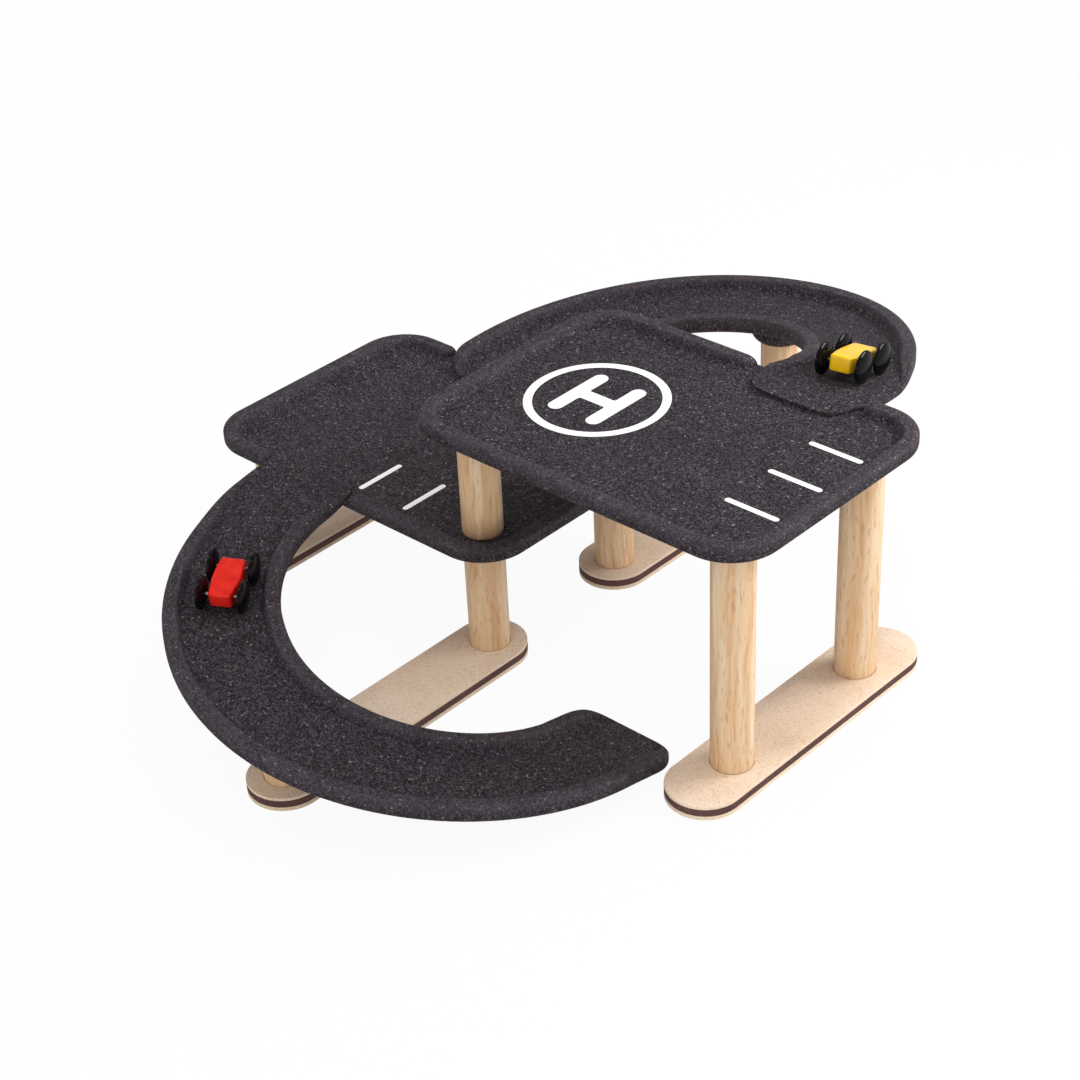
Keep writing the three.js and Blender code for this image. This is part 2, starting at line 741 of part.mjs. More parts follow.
const base = new THREE.Group();
for (const [end, turn] of [['back', 0], ['front', Math.PI]]) {
  const postPlaces = [postPairHalfSpacing, rampPostReach];
  const longFoot = foot(`${end}_long_foot`, postPairHalfSpacing, rampPostReach, postPlaces);
  longFoot.rotation.z = turn;
  base.add(longFoot);
}
for (const [end, side] of [['right', 1], ['left', -1]]) {
  const reach = postPairHalfSpacing + shortFootOverhang;
  const sideFoot = foot(`${end}_foot`, -reach, reach, [-postPairHalfSpacing, postPairHalfSpacing]);
  sideFoot.position.x = side * outerPostReach;
  base.add(sideFoot);
}

const upperPostTop = upperDeckHeight - socketFloorWeb - seatGap;
const lowerPostTop = lowerDeckHeight - socketFloorWeb - seatGap;
const standingPostBottom = lowerDeckHeight - postRecessDepth + seatGap;
for (const [end, side] of [['back', 1], ['front', -1]]) {
  const y = side * postPairHalfSpacing;
  base.add(post(`right_${end}_post`, outerPostReach, y, postBottom, upperPostTop));
  base.add(post(`left_${end}_post`, -outerPostReach, y, postBottom, lowerPostTop));
  base.add(post(`middle_${end}_lower_post`, 0, y, postBottom, lowerPostTop));
  base.add(post(`middle_${end}_upper_post`, 0, y, standingPostBottom, upperPostTop));
}
base.add(post('upper_ramp_post', 0, rampPostReach, postBottom, rampPostTop(upperRamp) - seatGap));
base.add(post('lower_ramp_post', 0, -rampPostReach, postBottom, rampPostTop(lowerRamp) - seatGap));

// How far the toy reaches out at one side: to the bend of a ramp or the end of a long foot.
function sideReach(ramp) {
  return Math.max(ramp.centreY + ramp.outerRadius, rampPostReach + footHalfWidth);
}

const garage = new THREE.Group();
garage.add(base, upperLevel, lowerLevel);
garage.position.y = (sideReach(lowerRamp) - sideReach(upperRamp)) / 2;

export default garage;
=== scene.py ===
import math
import bmesh
import bpy
from mathutils import Matrix, Vector


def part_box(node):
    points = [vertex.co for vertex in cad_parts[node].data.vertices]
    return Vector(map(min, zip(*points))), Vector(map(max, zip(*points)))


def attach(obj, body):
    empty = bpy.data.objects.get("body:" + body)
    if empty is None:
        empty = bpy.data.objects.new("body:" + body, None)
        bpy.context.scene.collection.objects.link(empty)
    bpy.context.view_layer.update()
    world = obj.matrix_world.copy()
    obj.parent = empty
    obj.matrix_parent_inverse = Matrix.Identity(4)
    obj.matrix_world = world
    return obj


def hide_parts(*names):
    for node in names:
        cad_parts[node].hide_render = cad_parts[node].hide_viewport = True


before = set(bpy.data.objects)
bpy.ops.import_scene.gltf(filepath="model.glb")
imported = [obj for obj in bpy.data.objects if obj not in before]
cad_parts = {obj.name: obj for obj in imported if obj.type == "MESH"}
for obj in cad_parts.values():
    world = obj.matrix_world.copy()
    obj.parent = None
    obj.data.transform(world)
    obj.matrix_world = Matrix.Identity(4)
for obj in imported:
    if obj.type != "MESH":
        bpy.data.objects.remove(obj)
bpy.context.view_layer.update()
mm = 0.001  # every size below is in millimetres, meshes are made in metres
smoothAngle = 32  # degrees up to which the edge between two faces is shaded round
cutOverrun = 2  # how far a cutting shape reaches past the surface that it opens
edgeShare = 0.3  # a small rounded edge passes this share of its radius from the corner
noiseSpan = 2.2  # a noise repeats at about this many times the width of its features
print("frame loaded,", len(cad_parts), "nodes")

# the toy's own middle in the record's frame, half way between the right pair of posts
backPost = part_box("right_back_post")
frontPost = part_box("right_front_post")
midY = (backPost[0].y + backPost[1].y + frontPost[0].y + frontPost[1].y) / 4 / mm


# shared helpers

def linearColour(hexText):
    shares = [int(hexText[start:start + 2], 16) / 255 for start in (1, 3, 5)]
    return [c / 12.92 if c <= 0.04045 else ((c + 0.055) / 1.055) ** 2.4 for c in shares] + [1.0]


def addNode(tree, kind, settings=None, links=None):
    node = tree.nodes.new(kind)
    for name, value in (settings or {}).items():
        setattr(node, name, value)
    for name, value in (links or {}).items():
        if isinstance(value, bpy.types.NodeSocket):
            tree.links.new(value, node.inputs[name])
        else:
            node.inputs[name].default_value = value
    return node


def colourRamp(tree, factor, stops):
    node = addNode(tree, "ShaderNodeValToRGB", {}, {"Fac": factor})
    ramp = node.color_ramp
    while len(ramp.elements) < len(stops):
        ramp.elements.new(1.0)
    for element, (position, hexText) in zip(ramp.elements, stops):
        element.position = position
        element.color = linearColour(hexText)
    return node.outputs["Color"]


def mixColour(tree, factor, first, second):
    links = {0: factor, 6: first, 7: second}
    return addNode(tree, "ShaderNodeMix", {"data_type": "RGBA"}, links).outputs[2]


def mathNode(tree, operation, *values):
    return addNode(tree, "ShaderNodeMath", {"operation": operation}, dict(enumerate(values))).outputs[0]


def vectorNode(tree, operation, *values):
    return addNode(tree, "ShaderNodeVectorMath", {"operation": operation}, dict(enumerate(values))).outputs


def mapRange(tree, value, low, high, fromLow=0.0, fromHigh=1.0):
    ends = {"From Min": fromLow, "From Max": fromHigh, "To Min": low, "To Max": high}
    return addNode(tree, "ShaderNodeMapRange", {}, {"Value": value, **ends}).outputs["Result"]


def noise(tree, place, size, detail=2.0, roughness=0.5, output="Fac"):
    # size is the distance in millimetres at which the noise repeats
    links = {"Vector": place, "Scale": 1000 / size, "Detail": detail, "Roughness": roughness}
    return addNode(tree, "ShaderNodeTexNoise", {}, links).outputs[output]


def cellPattern(tree, place, size):
    # cells about this many millimetres wide: three random tones for each, and the distance from its middle
    cells = addNode(tree, "ShaderNodeTexVoronoi", {}, {"Vector": place, "Scale": 1000 / size}).outputs
    tones = addNode(tree, "ShaderNodeSeparateColor", {}, {"Color": cells["Color"]}).outputs
    return tones, cells["Distance"]


def objectPlace(tree):
    return addNode(tree, "ShaderNodeTexCoord").outputs["Object"]


def newMaterial(name):
    material = bpy.data.materials.new(name)
    material.use_nodes = True
    return material.node_tree, material.node_tree.nodes["Principled BSDF"]


def joinSurface(tree, shader, colour, gloss, relief, strength, depth):
    # depth is the height of the relief in millimetres
    links = {"Height": relief, "Strength": strength, "Distance": depth * mm}
    bump = addNode(tree, "ShaderNodeBump", {}, links).outputs["Normal"]
    for name, socket in (("Base Color", colour), ("Roughness", gloss), ("Normal", bump)):
        tree.links.new(socket, shader.inputs[name])


def meshObject(name, rows, closedCaps=True, sharpAngle=smoothAngle, tags=None):
    # skins rows of closed outlines, all in millimetres in the toy's own frame
    mesh = bpy.data.meshes.new(name)
    count = len(rows[0])
    points = [(x * mm, (y + midY) * mm, z * mm) for row in rows for x, y, z in row]
    faces = []
    for row in range(len(rows) - 1):
        for index in range(count):
            following = (index + 1) % count
            here = row * count
            faces.append((here + index, here + following, here + count + following, here + count + index))
    if closedCaps:
        last = (len(rows) - 1) * count
        faces.append(tuple(reversed(range(count))))
        faces.append(tuple(range(last, last + count)))
    mesh.from_pydata(points, [], faces)
    for tagName, values in (tags or {}).items():
        layer = mesh.attributes.new(tagName, "FLOAT", "POINT")
        layer.data.foreach_set("value", values)
    return finishedMesh(name, mesh, sharpAngle)


def finishedMesh(name, mesh, sharpAngle):
    work = bmesh.new()
    work.from_mesh(mesh)
    bmesh.ops.recalc_face_normals(work, faces=work.faces)
    work.to_mesh(mesh)
    work.free()
    smoothed(mesh, sharpAngle)
    piece = bpy.data.objects.new(name, mesh)
    bpy.context.scene.collection.objects.link(piece)
    return piece


def smoothed(mesh, sharpAngle):
    mesh.shade_smooth()
    mesh.set_sharp_from_angle(angle=math.radians(sharpAngle))


def carve(piece, tool, operation, sharpAngle=smoothAngle):
    # joins or cuts with another closed mesh, then drops that mesh
    modifier = piece.modifiers.new("carve", "BOOLEAN")
    modifier.operation = operation
    modifier.solver = "EXACT"
    modifier.object = tool
    bpy.context.view_layer.update()
    shown = piece.evaluated_get(bpy.context.evaluated_depsgraph_get())
    result = bpy.data.meshes.new_from_object(shown)
    piece.modifiers.clear()
    piece.data = result
    smoothed(result, sharpAngle)
    bpy.data.objects.remove(tool)


def ringAt(radius, x, y, z, steps):
    angles = [2 * math.pi * step / steps for step in range(steps)]
    return [(x + radius * math.cos(angle), y + radius * math.sin(angle), z) for angle in angles]


def lathe(name, profile, x, y, steps, sharpAngle=smoothAngle):
    rows = [ringAt(radius, x, y, z, steps) for radius, z in profile]
    return meshObject(name, rows, sharpAngle=sharpAngle)


def arcPoints(centreA, centreB, radius, start, end, steps):
    angles = [math.radians(start + (end - start) * k / steps) for k in range(steps + 1)]
    return [(centreA + radius * math.cos(angle), centreB + radius * math.sin(angle)) for angle in angles]


def placePiece(piece, body, materialName, slotName, *nodes):
    piece.data.materials.clear()
    piece.data.materials.append(bpy.data.materials[materialName])
    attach(piece, body)
    if nodes:
        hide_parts(*nodes)


# materials

compositeLook = {
    "dark": "#131114",
    "ground": "#2f2a30",
    "pale": "#574f56",
    "warm": "#433235",
    "chip": "#8a8185",
    "grainSize": 0.9,  # mm across one pressed grain, as coarse as the render can show
    "chipSpan": 1.3,  # chips and fibres, in grains
    "fibreSpan": 1.6,
    "blotchSize": 16,
    "chipShare": 0.03,
    "roughness": 0.7,
}


def pressedComposite(name):
    # sawdust dyed charcoal and pressed in a hot mould: matt, with grains of near tones, some redder, and a
    # few that took little dye; paler along the rims' crests and rounded edges, partly wear and partly a
    # painted highlight
    look = compositeLook
    tree, shader = newMaterial(name)
    place = objectPlace(tree)
    tones, distance = cellPattern(tree, place, look["grainSize"])
    chipTones, _ = cellPattern(tree, place, look["grainSize"] * look["chipSpan"])
    blotches = noise(tree, place, look["blotchSize"], 5.0, 0.62)
    level = mathNode(tree, "MULTIPLY", mathNode(tree, "MULTIPLY_ADD", blotches, 0.3, tones["Red"]), 0.85)
    ground = colourRamp(tree, level, [(0.08, look["dark"]), (0.55, look["ground"]), (1.0, look["pale"])])
    redder = mapRange(tree, tones["Green"], 0.0, 0.5, 0.8)
    tinted = mixColour(tree, redder, ground, linearColour(look["warm"]))
    bare = mapRange(tree, chipTones["Green"], 0.0, 0.8, 1 - look["chipShare"])
    chipped = mixColour(tree, bare, tinted, linearColour(look["chip"]))
    # paler along the rims' crests and rounded edges: partly wear, partly a painted highlight
    crest = addNode(tree, "ShaderNodeAttribute", {"attribute_name": "crestWearAndHighlight"}).outputs["Fac"]
    wornAndHighlit = mathNode(tree, "MULTIPLY", crest, blotches)
    colour = mixColour(tree, wornAndHighlit, chipped, linearColour(look["pale"]))
    gloss = mapRange(tree, tones["Blue"], look["roughness"] - 0.12, look["roughness"] + 0.14)
    fibre = noise(tree, place, look["grainSize"] * look["fibreSpan"], 3.0)
    joinSurface(tree, shader, colour, gloss, mathNode(tree, "ADD", fibre, distance), 0.55, 0.35)
    shader.inputs["Specular IOR Level"].default_value = 0.2


woodLook = {
    "pale": "#f2dbbb",
    "ground": "#e6c298",
    "warm": "#d6a474",
    "pore": "#b08056",
    "streakWidth": 3.4,  # mm
    "lineWidth": 0.9,
    "poreWidth": 0.7,  # real pores are finer, drawn as wide as the render can show
    "swayLength": 1000 / 14,
    "swayWidth": 11,
    "streakSquash": (1.0, 1.0, 0.035),  # shares of the height that draw streaks and pores out along the rod
    "poreSquash": (1.0, 1.0, 0.16),
    "roughness": 0.42,
}


def turnedRubberwood(name):
    # rubberwood turned to a rod, sanded and clear lacquered: satin, with long pale and tan streaks and short
    # dark pores
    look = woodLook
    tree, shader = newMaterial(name)
    place = objectPlace(tree)
    drift = noise(tree, place, look["swayLength"], output="Color")
    sway = (look["swayWidth"] * mm, look["swayWidth"] * mm, 0.0)
    swayed = vectorNode(tree, "MULTIPLY_ADD", drift, sway, place)[0]
    drawnOut = vectorNode(tree, "MULTIPLY", swayed, look["streakSquash"])[0]
    poresOut = vectorNode(tree, "MULTIPLY", swayed, look["poreSquash"])[0]
    streaks = noise(tree, drawnOut, look["streakWidth"] * noiseSpan, 3.0, 0.6)
    lines = noise(tree, drawnOut, look["lineWidth"] * noiseSpan)
    blend = mathNode(tree, "MULTIPLY_ADD", lines, 0.45, streaks)
    level = mapRange(tree, blend, 0.0, 1.0, 0.48, 0.98)
    ground = colourRamp(tree, level, [(0.0, look["warm"]), (0.45, look["ground"]), (1.0, look["pale"])])
    pores = noise(tree, poresOut, look["poreWidth"] * noiseSpan, 0.0)
    dark = mapRange(tree, pores, 0.0, 0.45, 0.64, 0.78)
    colour = mixColour(tree, dark, ground, linearColour(look["pore"]))
    gloss = mapRange(tree, level, look["roughness"] + 0.08, look["roughness"] - 0.06)
    joinSurface(tree, shader, colour, gloss, mathNode(tree, "MULTIPLY_ADD", dark, -1.0, blend), 0.25, 0.15)


patternSizes = {  # mm
    "boardMottle": 1.6,
    "boardTone": 45,
    "boardSpeck": 1.5,
    "lacquerFlow": 9,
    "steelLine": 0.5,
    "inkGrain": 1.1,
}


def pressedBoard(name, grounds, speck, speckShare, roughness):
    # sawdust board pressed without dye and sanded: even ground, fine mottle, scattered darker specks
    tree, shader = newMaterial(name)
    place = objectPlace(tree)
    mottle = noise(tree, place, patternSizes["boardMottle"], 3.0, 0.7)
    broad = noise(tree, place, patternSizes["boardTone"])
    level = mapRange(tree, mathNode(tree, "MULTIPLY_ADD", broad, 0.5, mottle), 0.0, 1.0, 0.5)
    ground = colourRamp(tree, level, list(zip((0.0, 0.5, 1.0), grounds)))
    tones, distance = cellPattern(tree, place, patternSizes["boardSpeck"])
    chosen = mapRange(tree, tones["Red"], 0.0, 1.0, 1 - speckShare, 1 - speckShare * 0.6)
    near = mapRange(tree, distance, 0.75, 0.0, 0.28, 0.42)
    colour = mixColour(tree, mathNode(tree, "MULTIPLY", chosen, near), ground, linearColour(speck))
    gloss = mapRange(tree, mottle, roughness - 0.1, roughness + 0.1)
    joinSurface(tree, shader, colour, gloss, mottle, 0.2, 0.12)


def sprayedLacquer(name, ground, deep, gloss, coat, haze):
    # thick coloured lacquer sprayed on a wooden block: glossy, faintly uneven, deeper in tone where it pooled
    tree, shader = newMaterial(name)
    flow = noise(tree, objectPlace(tree), patternSizes["lacquerFlow"])
    colour = colourRamp(tree, flow, [(0.3, deep), (0.62, ground)])
    joinSurface(tree, shader, colour, mapRange(tree, flow, haze, haze + 0.1), flow, 0.12, 0.2)
    shader.inputs["Specular IOR Level"].default_value = gloss
    shader.inputs["Coat Weight"].default_value = coat
    shader.inputs["Coat Roughness"].default_value = 0.06


def polishedSteel(name):
    # drawn steel wire, polished: bright, with fine lines round the pin
    tree, shader = newMaterial(name)
    lines = noise(tree, objectPlace(tree), patternSizes["steelLine"])
    colour = colourRamp(tree, lines, [(0.3, "#b9b7b4"), (0.7, "#dedddb")])
    tree.links.new(colour, shader.inputs["Base Color"])
    tree.links.new(mapRange(tree, lines, 0.14, 0.32), shader.inputs["Roughness"])
    shader.inputs["Metallic"].default_value = 1.0


def screenPrint(name):
    # white ink screen printed on the pressed grain: opaque, matt, the grain just felt through it
    tree, shader = newMaterial(name)
    grain = noise(tree, objectPlace(tree), patternSizes["inkGrain"], 3.0)
    colour = colourRamp(tree, grain, [(0.25, "#e9e7e6"), (0.5, "#fbfafa")])
    joinSurface(tree, shader, colour, mapRange(tree, grain, 0.5, 0.7), grain, 0.2, 0.15)


pressedComposite("Pressed charcoal composite")
turnedRubberwood("Turned lacquered rubberwood")
# each board's ground from dark to pale, its specks and their share, and its roughness
pressedBoard("Pressed natural board", ("#dfc0a2", "#efd4ba", "#f8e4ce"), "#a57e5c", 0.06, 0.5)
pressedBoard("Pressed dark core", ("#482c29", "#5d3b37", "#734d47"), "#2c1b19", 0.05, 0.65)
pressedBoard("Pale veneer board", ("#e2c4a2", "#f0d8b9", "#f7e6cf"), "#b88f66", 0.03, 0.5)
# each lacquer's ground and pooled tone, its gloss, its clear coat and its haze
sprayedLacquer("Yellow lacquer", "#ffcc12", "#f6bd08", 0.5, 0.5, 0.14)
sprayedLacquer("Red lacquer", "#ea2a1c", "#d81d14", 0.3, 0.25, 0.14)
sprayedLacquer("Black lacquer", "#0b0b0e", "#060608", 0.22, 0.0, 0.05)
polishedSteel("Polished steel pin")
screenPrint("White screen print")
print("materials made")


# decks

tray = {
    "floorThickness": 6,
    "deckRimHeight": 5.5,
    "deckRimWidth": 14,
    "rampRimHeight": 7,
    "rampRimWidth": 14,
    "slopeWidth": 5.5,
    "slopeTurn": 25,  # degrees at which the crest's round passes into the slope
    "crestRound": 2.3,
    "crestEase": 0.3,
    "footFillet": 2.2,
    "floorMargin": 3,
    "edgeRound": 1.1,
    "undersideRound": 4.4,
    "deckStart": 0.35,  # where it begins, a deck's rim has this share of its full width
    "rampStarts": (0.7, 0.35),  # the same for a ramp's inner and outer rim
    "leastLift": 0.001,
    # paleness painted on the crest's rounds and on its flat top: partly wear, partly a painted highlight
    "cornerWearAndHighlight": 0.55,
    "crestWearAndHighlight": 0.35,
}

deck = {
    "farReach": 244.2,
    "nearReach": 36.9,
    "halfWidth": 100.7,
    "cornerRadius": 35.5,
    "lowerHeight": 101.25,
    "upperHeight": 186.6,
    "socketWeb": 4.4,
    "bossWall": 4.2,
    "bossDepth": 7,
    "bossFootRound": [(2.2, 0), (1.2, 0.3), (0.6, 1.2)],  # in from the boss's side, up from its foot
    "recessDepth": 1.4,
    "recessBreak": 0.4,
    "recessMouth": 0.9,  # how much wider than the post
    "cornerSteps": 18,
    "openingSteps": 9,
}

post = {
    "radius": 14,
    "chamfer": 1,
    "gap": 0.3,
    "pairHalfSpacing": 65.3,
    "outerReach": 211,
    "rampReach": 256.5,
    "steps": 64,
    "smoothAngle": 50,
}


def rimProfile(height, width, growth, startWidth):
    # (inset, rise, crest wear and painted highlight) from under the tray round its outside and over the rim
    # to the floor; where the rim dies away it gets narrow as well as low, and leaves a plain rounded edge
    rounding, fillet = tray["crestRound"], tray["footFillet"]
    under, edge, turn = tray["undersideRound"], tray["edgeRound"], tray["slopeTurn"]
    lift = max(growth, tray["leastLift"])
    breadth = startWidth + (1 - startWidth) * growth
    below = arcPoints(under, under - tray["floorThickness"], under, 270, 180, 5)
    points = [(inset, rise, 0.0) for inset, rise in below]
    full = arcPoints(rounding, height - rounding, rounding, 180, 90, 6)
    plain = arcPoints(edge, -edge, edge, 180, 90, 6)
    for (inset, rise), (plainInset, plainRise) in zip(full, plain):
        mixedInset = inset * growth + plainInset * (1 - growth)
        points.append((mixedInset, rise * growth + plainRise * (1 - growth), tray["cornerWearAndHighlight"]))
    crestEnd = width - tray["slopeWidth"]
    points.append(((rounding + crestEnd) / 2 * breadth, height * growth, tray["crestWearAndHighlight"]))
    for inset, rise in arcPoints(crestEnd - tray["crestEase"], height - rounding, rounding, 90, turn, 5):
        points.append((inset * breadth, rise * lift, tray["cornerWearAndHighlight"]))
    for inset, rise in arcPoints(width, fillet, fillet, 180 + turn, 270, 6):
        points.append((inset * breadth, rise * lift, 0.0))
    points.append((width * breadth + tray["floorMargin"], 0.0, 0.0))
    return points


def deckStations(openings):
    # places round the deck's edge with their outward direction and how far the rim is grown there
    halfX = (deck["farReach"] - deck["nearReach"]) / 2
    radius = deck["cornerRadius"]
    stations = []
    for quarter, (sideX, sideY) in enumerate([(1, -1), (1, 1), (-1, 1), (-1, -1)]):
        centreX = halfX + sideX * ((deck["farReach"] + deck["nearReach"]) / 2 - radius)
        centreY = sideY * (deck["halfWidth"] - radius)
        for step in range(deck["cornerSteps"] + 1):
            angle = (quarter - 1 + step / deck["cornerSteps"]) * math.pi / 2
            outward = (math.cos(angle), math.sin(angle))
            stations.append((centreX + radius * outward[0], centreY + radius * outward[1], outward, 1.0))
        if quarter % 2 == 1:
            stations += openingStations(openings, sideY)
    return stations


def openingStations(openings, side):
    # the rims on both sides of a ramp end in rounded noses; where the ramp flares as it crosses, lean turns
    # the rim's end to run along it
    steps = deck["openingSteps"]
    stations = []
    for low, high, noses, lean in [opening[1:] for opening in openings if opening[0] == side]:
        for edge, away, nose, turned in [(low, -1, noses[0], 0.0), (high, 1, noses[1], lean)]:
            for step in range(steps + 1):
                angle = step / steps * math.pi / 2
                x = edge + away * nose * (1 - math.cos(angle))
                stations.append((x, side * deck["halfWidth"], (turned, float(side)), math.sin(angle)))
            if turned:
                reach = turned * tray["deckRimWidth"]
                for step in range(1, steps + 1):
                    share = step / steps
                    x = edge + away * (nose + reach * share)
                    stations.append((x, side * deck["halfWidth"], (turned * (1 - share), float(side)), 1.0))
    return sorted(stations, key=lambda station: -side * station[0])


def cutBore(piece, x, y, low, high):
    # a round socket or hole for a post
    radius = post["radius"] + post["gap"]
    carve(piece, lathe("bore", [(radius, low), (radius, high)], x, y, post["steps"]), "DIFFERENCE")


def deckPiece(name, height, turn, openings, standing):
    # turn is 1 for the upper deck and -1 for the lower one, which faces the other way; with standing, the two
    # near posts go on above the deck and have recesses in its floor
    stations = deckStations(openings)
    profiles = [rimProfile(tray["deckRimHeight"], tray["deckRimWidth"], growth, tray["deckStart"])
                for _, _, _, growth in stations]
    # each point carries how much wear and painted highlight its crest gets
    rows, wearAndHighlight = [], []
    for index in range(len(profiles[0])):
        row = []
        for (x, y, outward, growth), profile in zip(stations, profiles):
            inset, rise, crest = profile[index]
            row.append((turn * (x - outward[0] * inset), turn * (y - outward[1] * inset), height + rise))
            wearAndHighlight.append(crest * growth)
        rows.append(row)
    piece = meshObject(name, rows, tags={"crestWearAndHighlight": wearAndHighlight})
    socketTop = height - deck["socketWeb"]
    bossFoot = height - tray["floorThickness"] - deck["bossDepth"]
    socketRadius = post["radius"] + post["gap"]
    bossRadius = socketRadius + deck["bossWall"]
    boss = [(bossRadius - inset, bossFoot + rise) for inset, rise in deck["bossFootRound"]]
    boss.append((bossRadius, socketTop))
    mouth = post["radius"] + deck["recessMouth"]
    recess = [(socketRadius, height - deck["recessDepth"]), (socketRadius, height - deck["recessBreak"]),
              (mouth, height), (mouth, height + cutOverrun)]
    for x in (0, turn * post["outerReach"]):
        for y in (-post["pairHalfSpacing"], post["pairHalfSpacing"]):
            carve(piece, lathe("boss", boss, x, y, post["steps"]), "UNION")
            cutBore(piece, x, y, bossFoot - cutOverrun, socketTop)
            if standing and x == 0:
                carve(piece, lathe("recess", recess, x, y, post["steps"]), "DIFFERENCE")
    return piece


# ramps, each in a frame where its upper end is at +X and its bend at +Y

upperRamp = {
    "centreX": 9,
    "centreY": 92.2,
    "outerRadius": 184.5,
    "bandWidth": 76.5,
    "topHeight": 189.3,
    "middleHeight": 140.6,
    "lowHeight": 103.95,
    "topEnd": 70.6,
    "lowEnd": 72.5,
    "corners": (19, 16, 14, 26),
    # the edges depart from plain arcs by the first of these amounts, held as far as the second and eased out
    # over the third
    "innerShifts": [(-7.2, 34, 24), (-2, 50, 40)],
    "outerShifts": [(-10.3, 14, 15), (3.3, 50, 40), (-1.8, 120, 80)],
    "outerRimStart": 56,
    "outerRimFade": 48,
    # what the decks' rims leave open beside each end, inside and outside, and the lengths of the rims' noses
    "topGaps": (8.4, 1.2),
    "topNoses": (7.5, 3.4),
    "lowGaps": (1.6, 9),
    "lowNoses": (9, 5),
    "lean": 0.6,
}

lowerRamp = {
    "centreX": -5.6,
    "centreY": 124.8,
    "outerRadius": 174.46,
    "bandWidth": 78.6,
    "topHeight": 103.85,
    "middleHeight": 56.7,
    "lowHeight": 4.6,
    "topEnd": 80.7,
    "lowEnd": 75,
    "corners": (20, 15, 10, 24),
    "innerShifts": [(4.2, 0, 38), (4.4, 66, 125)],
    "outerShifts": [(9.6, 34, 57)],
    "outerRimStart": 30,
    "outerRimFade": 65,
    "topGaps": (1.6, 1.6),
    "topNoses": (9, 9),
    "lean": 0.0,
}

rampBuild = {
    "deckGap": 0.6,
    "rimRise": 26,
    "rimsAcross": 3,  # where the ramp is narrower than this many rims, they get narrower with it
    "socketWeb": 6.4,
    "bossDepth": 33,
    "bossWall": 7,
    "bossRound": 8,
    "restDepth": 40,
    "crossingShares": (0, 0.5, 1),  # places across a deck's rim where the ramp's width is taken
    "flareEnd": 60,  # measured closely as far as here, where the edges change most
    "flareSteps": 24,
    "sweepSteps": 84,
    "endSteps": 14,
}


def rampLine(ramp):
    radius = ramp["outerRadius"] - ramp["bandWidth"] / 2
    first = ramp["centreY"] - ramp["topEnd"]
    bend = math.pi * radius
    return radius, first, bend, first + bend + ramp["centreY"] - ramp["lowEnd"]


def eased(distance, length):
    share = min(max(distance / length, 0.0), 1.0)
    return share * share * (3 - 2 * share)


def tongueLength(ramp):
    return deck["halfWidth"] + rampBuild["deckGap"] - ramp["topEnd"]


def rampFloor(ramp, distance):
    level = tongueLength(ramp)
    share = max(0.0, distance - level) / (rampLine(ramp)[3] - level)
    return (ramp["topHeight"] * (1 - share) * (1 - 2 * share)
            + ramp["middleHeight"] * 4 * share * (1 - share)
            + ramp["lowHeight"] * share * (2 * share - 1))


def cornerInset(radius, distance):
    left = max(0.0, radius - distance)
    return radius - math.sqrt(radius * radius - left * left)


def shifted(shifts, distance):
    return sum(amount * (1 - eased(distance - start, length)) for amount, start, length in shifts)


def rampEdges(ramp, distance):
    left = rampLine(ramp)[3] - distance
    topInner, topOuter, lowInner, lowOuter = ramp["corners"]
    inner = cornerInset(topInner, distance) + cornerInset(lowInner, left)
    outer = cornerInset(topOuter, distance) + cornerInset(lowOuter, left)
    half = ramp["bandWidth"] / 2
    innerEdge = -half + shifted(ramp["innerShifts"], distance) + inner
    return innerEdge, half + shifted(ramp["outerShifts"], distance) - outer


def rampGrowths(ramp, distance):
    # how far the inner and the outer rim are grown; the inner rim keeps the tongue's level while the floor
    # falls away from it, until it is as high as the rest
    left = rampLine(ramp)[3] - distance
    end = math.sqrt(eased(left, rampBuild["rimRise"]))
    inner = min(1.0, (ramp["topHeight"] - rampFloor(ramp, distance)) / tray["rampRimHeight"])
    return inner * end, eased(distance - ramp["outerRimStart"], ramp["outerRimFade"]) * end


def rampPlace(ramp, distance, across):
    radius, first, bend, _ = rampLine(ramp)
    along = min(max(distance - first, 0.0), bend)
    angle = along / radius
    beyond = distance - first - along
    x = ramp["centreX"] + (radius + across) * math.cos(angle) - beyond * math.sin(angle)
    y = ramp["centreY"] + (radius + across) * math.sin(angle) + beyond * math.cos(angle)
    return x, y


def rampDistances(ramp):
    # where the ramp is cut into sections: closest at its rounded ends, then along the flare
    length = rampLine(ramp)[3]
    start = max(ramp["corners"][:2])
    end = max(ramp["corners"][2:])
    flareEnd, flareSteps = rampBuild["flareEnd"], rampBuild["flareSteps"]
    sweepSteps, endSteps = rampBuild["sweepSteps"], rampBuild["endSteps"]
    rounds = [1 - math.cos(step / endSteps * math.pi / 2) for step in range(endSteps)]
    flare = [start + (flareEnd - start) * step / flareSteps for step in range(flareSteps)]
    rest = length - flareEnd - end
    middle = [flareEnd + rest * step / sweepSteps for step in range(sweepSteps + 1)]
    nearEnd = [length - end * share for share in reversed(rounds)]
    return [start * share for share in rounds] + flare + middle + nearEnd


def floorUnder(ramp, x, y):
    radius, first, _, _ = rampLine(ramp)
    besideX, besideY = x - ramp["centreX"], y - ramp["centreY"]
    return rampFloor(ramp, first + (besideY if besideY < 0 else math.atan2(besideY, besideX) * radius))


